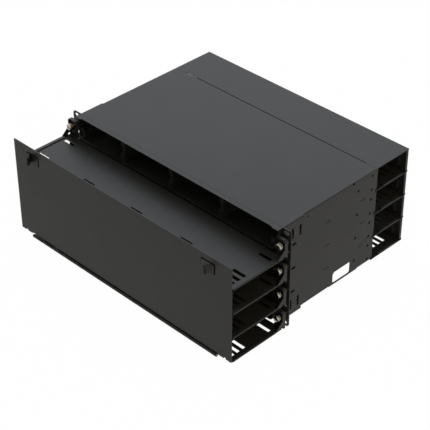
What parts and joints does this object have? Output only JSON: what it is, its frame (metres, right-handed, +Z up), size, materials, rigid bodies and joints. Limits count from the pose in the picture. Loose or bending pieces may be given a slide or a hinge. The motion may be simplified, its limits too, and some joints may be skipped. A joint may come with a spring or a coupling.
{
  "type": "fibre patch panel",
  "caption": "Rack-mounted fibre patch panel: folded steel chassis with cassette bays, slotted front and rear trays and a drop-down door with slide latches.",
  "frame": {"origin": "centre of the rectangle of rack slots, in the plane of the ears' rear faces, which meet the rack posts", "axes": "+X to the panel's right seen from the front, +Y back into the rack, +Z up; the door is at -Y"},
  "size_m": [0.4826, 0.4293, 0.1781],
  "materials": {
    "powder_coat": "fine-texture black powder coat on folded sheet steel, satin",
    "nickel_plate": "nickel-plated turned steel, knurled",
    "zinc_plate": "bright zinc plate on turned steel",
    "steel_pin": "plain steel pins and rivets",
    "latch_plastic": "moulded black nylon, fine texture",
    "glide_plastic": "low-friction black acetal strip"
  },
  "bodies": {
    "chassis": {"bay_dividers_1": "powder_coat", "bay_dividers_2": "powder_coat", "bay_dividers_3": "powder_coat", "bay_dividers_4": "powder_coat", "cassette_glides": "glide_plastic", "cassette_tray_1": "powder_coat", "cassette_tray_2": "powder_coat", "cassette_tray_3": "powder_coat", "cassette_tray_4": "powder_coat", "cover_nosing": "powder_coat", "ear_standoffs": "zinc_plate", "front_tray_1": "powder_coat", "front_tray_2": "powder_coat", "front_tray_3": "powder_coat", "front_tray_4": "powder_coat", "hinge_leaf_tray": "powder_coat", "hinge_pin": "steel_pin", "latch_catches": "powder_coat", "level_shelf_1": "powder_coat", "level_shelf_2": "powder_coat", "level_shelf_3": "powder_coat", "rack_ear_left": "powder_coat", "rack_ear_right": "powder_coat", "rear_top_cover": "powder_coat", "rear_tray_1": "powder_coat", "rear_tray_2": "powder_coat", "rear_tray_3": "powder_coat", "rear_tray_4": "powder_coat", "screw_ferrules": "zinc_plate", "side_panel_left": "powder_coat", "side_panel_right": "powder_coat", "top_cover": "powder_coat"},
    "door_latch_left": {"door_latch_left": "latch_plastic"},
    "door_latch_right": {"door_latch_right": "latch_plastic"},
    "door": {"front_door": "powder_coat", "hinge_leaf_door": "powder_coat", "latch_housing_left": "latch_plastic", "latch_housing_right": "latch_plastic"},
    "thumbscrew_left_1": {"thumbscrew_left_1": "nickel_plate"},
    "thumbscrew_left_2": {"thumbscrew_left_2": "nickel_plate"},
    "thumbscrew_left_3": {"thumbscrew_left_3": "nickel_plate"},
    "thumbscrew_left_4": {"thumbscrew_left_4": "nickel_plate"},
    "thumbscrew_right_1": {"thumbscrew_right_1": "nickel_plate"},
    "thumbscrew_right_2": {"thumbscrew_right_2": "nickel_plate"},
    "thumbscrew_right_3": {"thumbscrew_right_3": "nickel_plate"},
    "thumbscrew_right_4": {"thumbscrew_right_4": "nickel_plate"}
  },
  "joints": [
    {"name": "door_hinge", "type": "hinge", "parent": "chassis", "child": "door", "pos_m": [0, -0.1251, -0.08645], "axis": [1, 0, 0], "range_deg": [0, 100]},
    {"name": "latch_left_slide", "type": "slide", "parent": "door", "child": "door_latch_left", "axis": [1, 0, 0], "range_m": [0, 0.0024], "stiffness_N_per_m": 300},
    {"name": "latch_right_slide", "type": "slide", "parent": "door", "child": "door_latch_right", "axis": [1, 0, 0], "range_m": [0, 0.0024], "stiffness_N_per_m": 300},
    {"name": "screw_left_1_turn", "type": "hinge", "parent": "chassis", "child": "thumbscrew_left_1", "pos_m": [-0.23255, -0.0175, 0.06667], "axis": [0, 1, 0], "continuous": true},
    {"name": "screw_left_2_turn", "type": "hinge", "parent": "chassis", "child": "thumbscrew_left_2", "pos_m": [-0.23255, -0.0175, 0.02223], "axis": [0, 1, 0], "continuous": true},
    {"name": "screw_left_3_turn", "type": "hinge", "parent": "chassis", "child": "thumbscrew_left_3", "pos_m": [-0.23255, -0.0175, -0.02223], "axis": [0, 1, 0], "continuous": true},
    {"name": "screw_left_4_turn", "type": "hinge", "parent": "chassis", "child": "thumbscrew_left_4", "pos_m": [-0.23255, -0.0175, -0.06667], "axis": [0, 1, 0], "continuous": true},
    {"name": "screw_right_1_turn", "type": "hinge", "parent": "chassis", "child": "thumbscrew_right_1", "pos_m": [0.23255, -0.0175, 0.06667], "axis": [0, 1, 0], "continuous": true},
    {"name": "screw_right_2_turn", "type": "hinge", "parent": "chassis", "child": "thumbscrew_right_2", "pos_m": [0.23255, -0.0175, 0.02223], "axis": [0, 1, 0], "continuous": true},
    {"name": "screw_right_3_turn", "type": "hinge", "parent": "chassis", "child": "thumbscrew_right_3", "pos_m": [0.23255, -0.0175, -0.02223], "axis": [0, 1, 0], "continuous": true},
    {"name": "screw_right_4_turn", "type": "hinge", "parent": "chassis", "child": "thumbscrew_right_4", "pos_m": [0.23255, -0.0175, -0.06667], "axis": [0, 1, 0], "continuous": true}
  ]
}
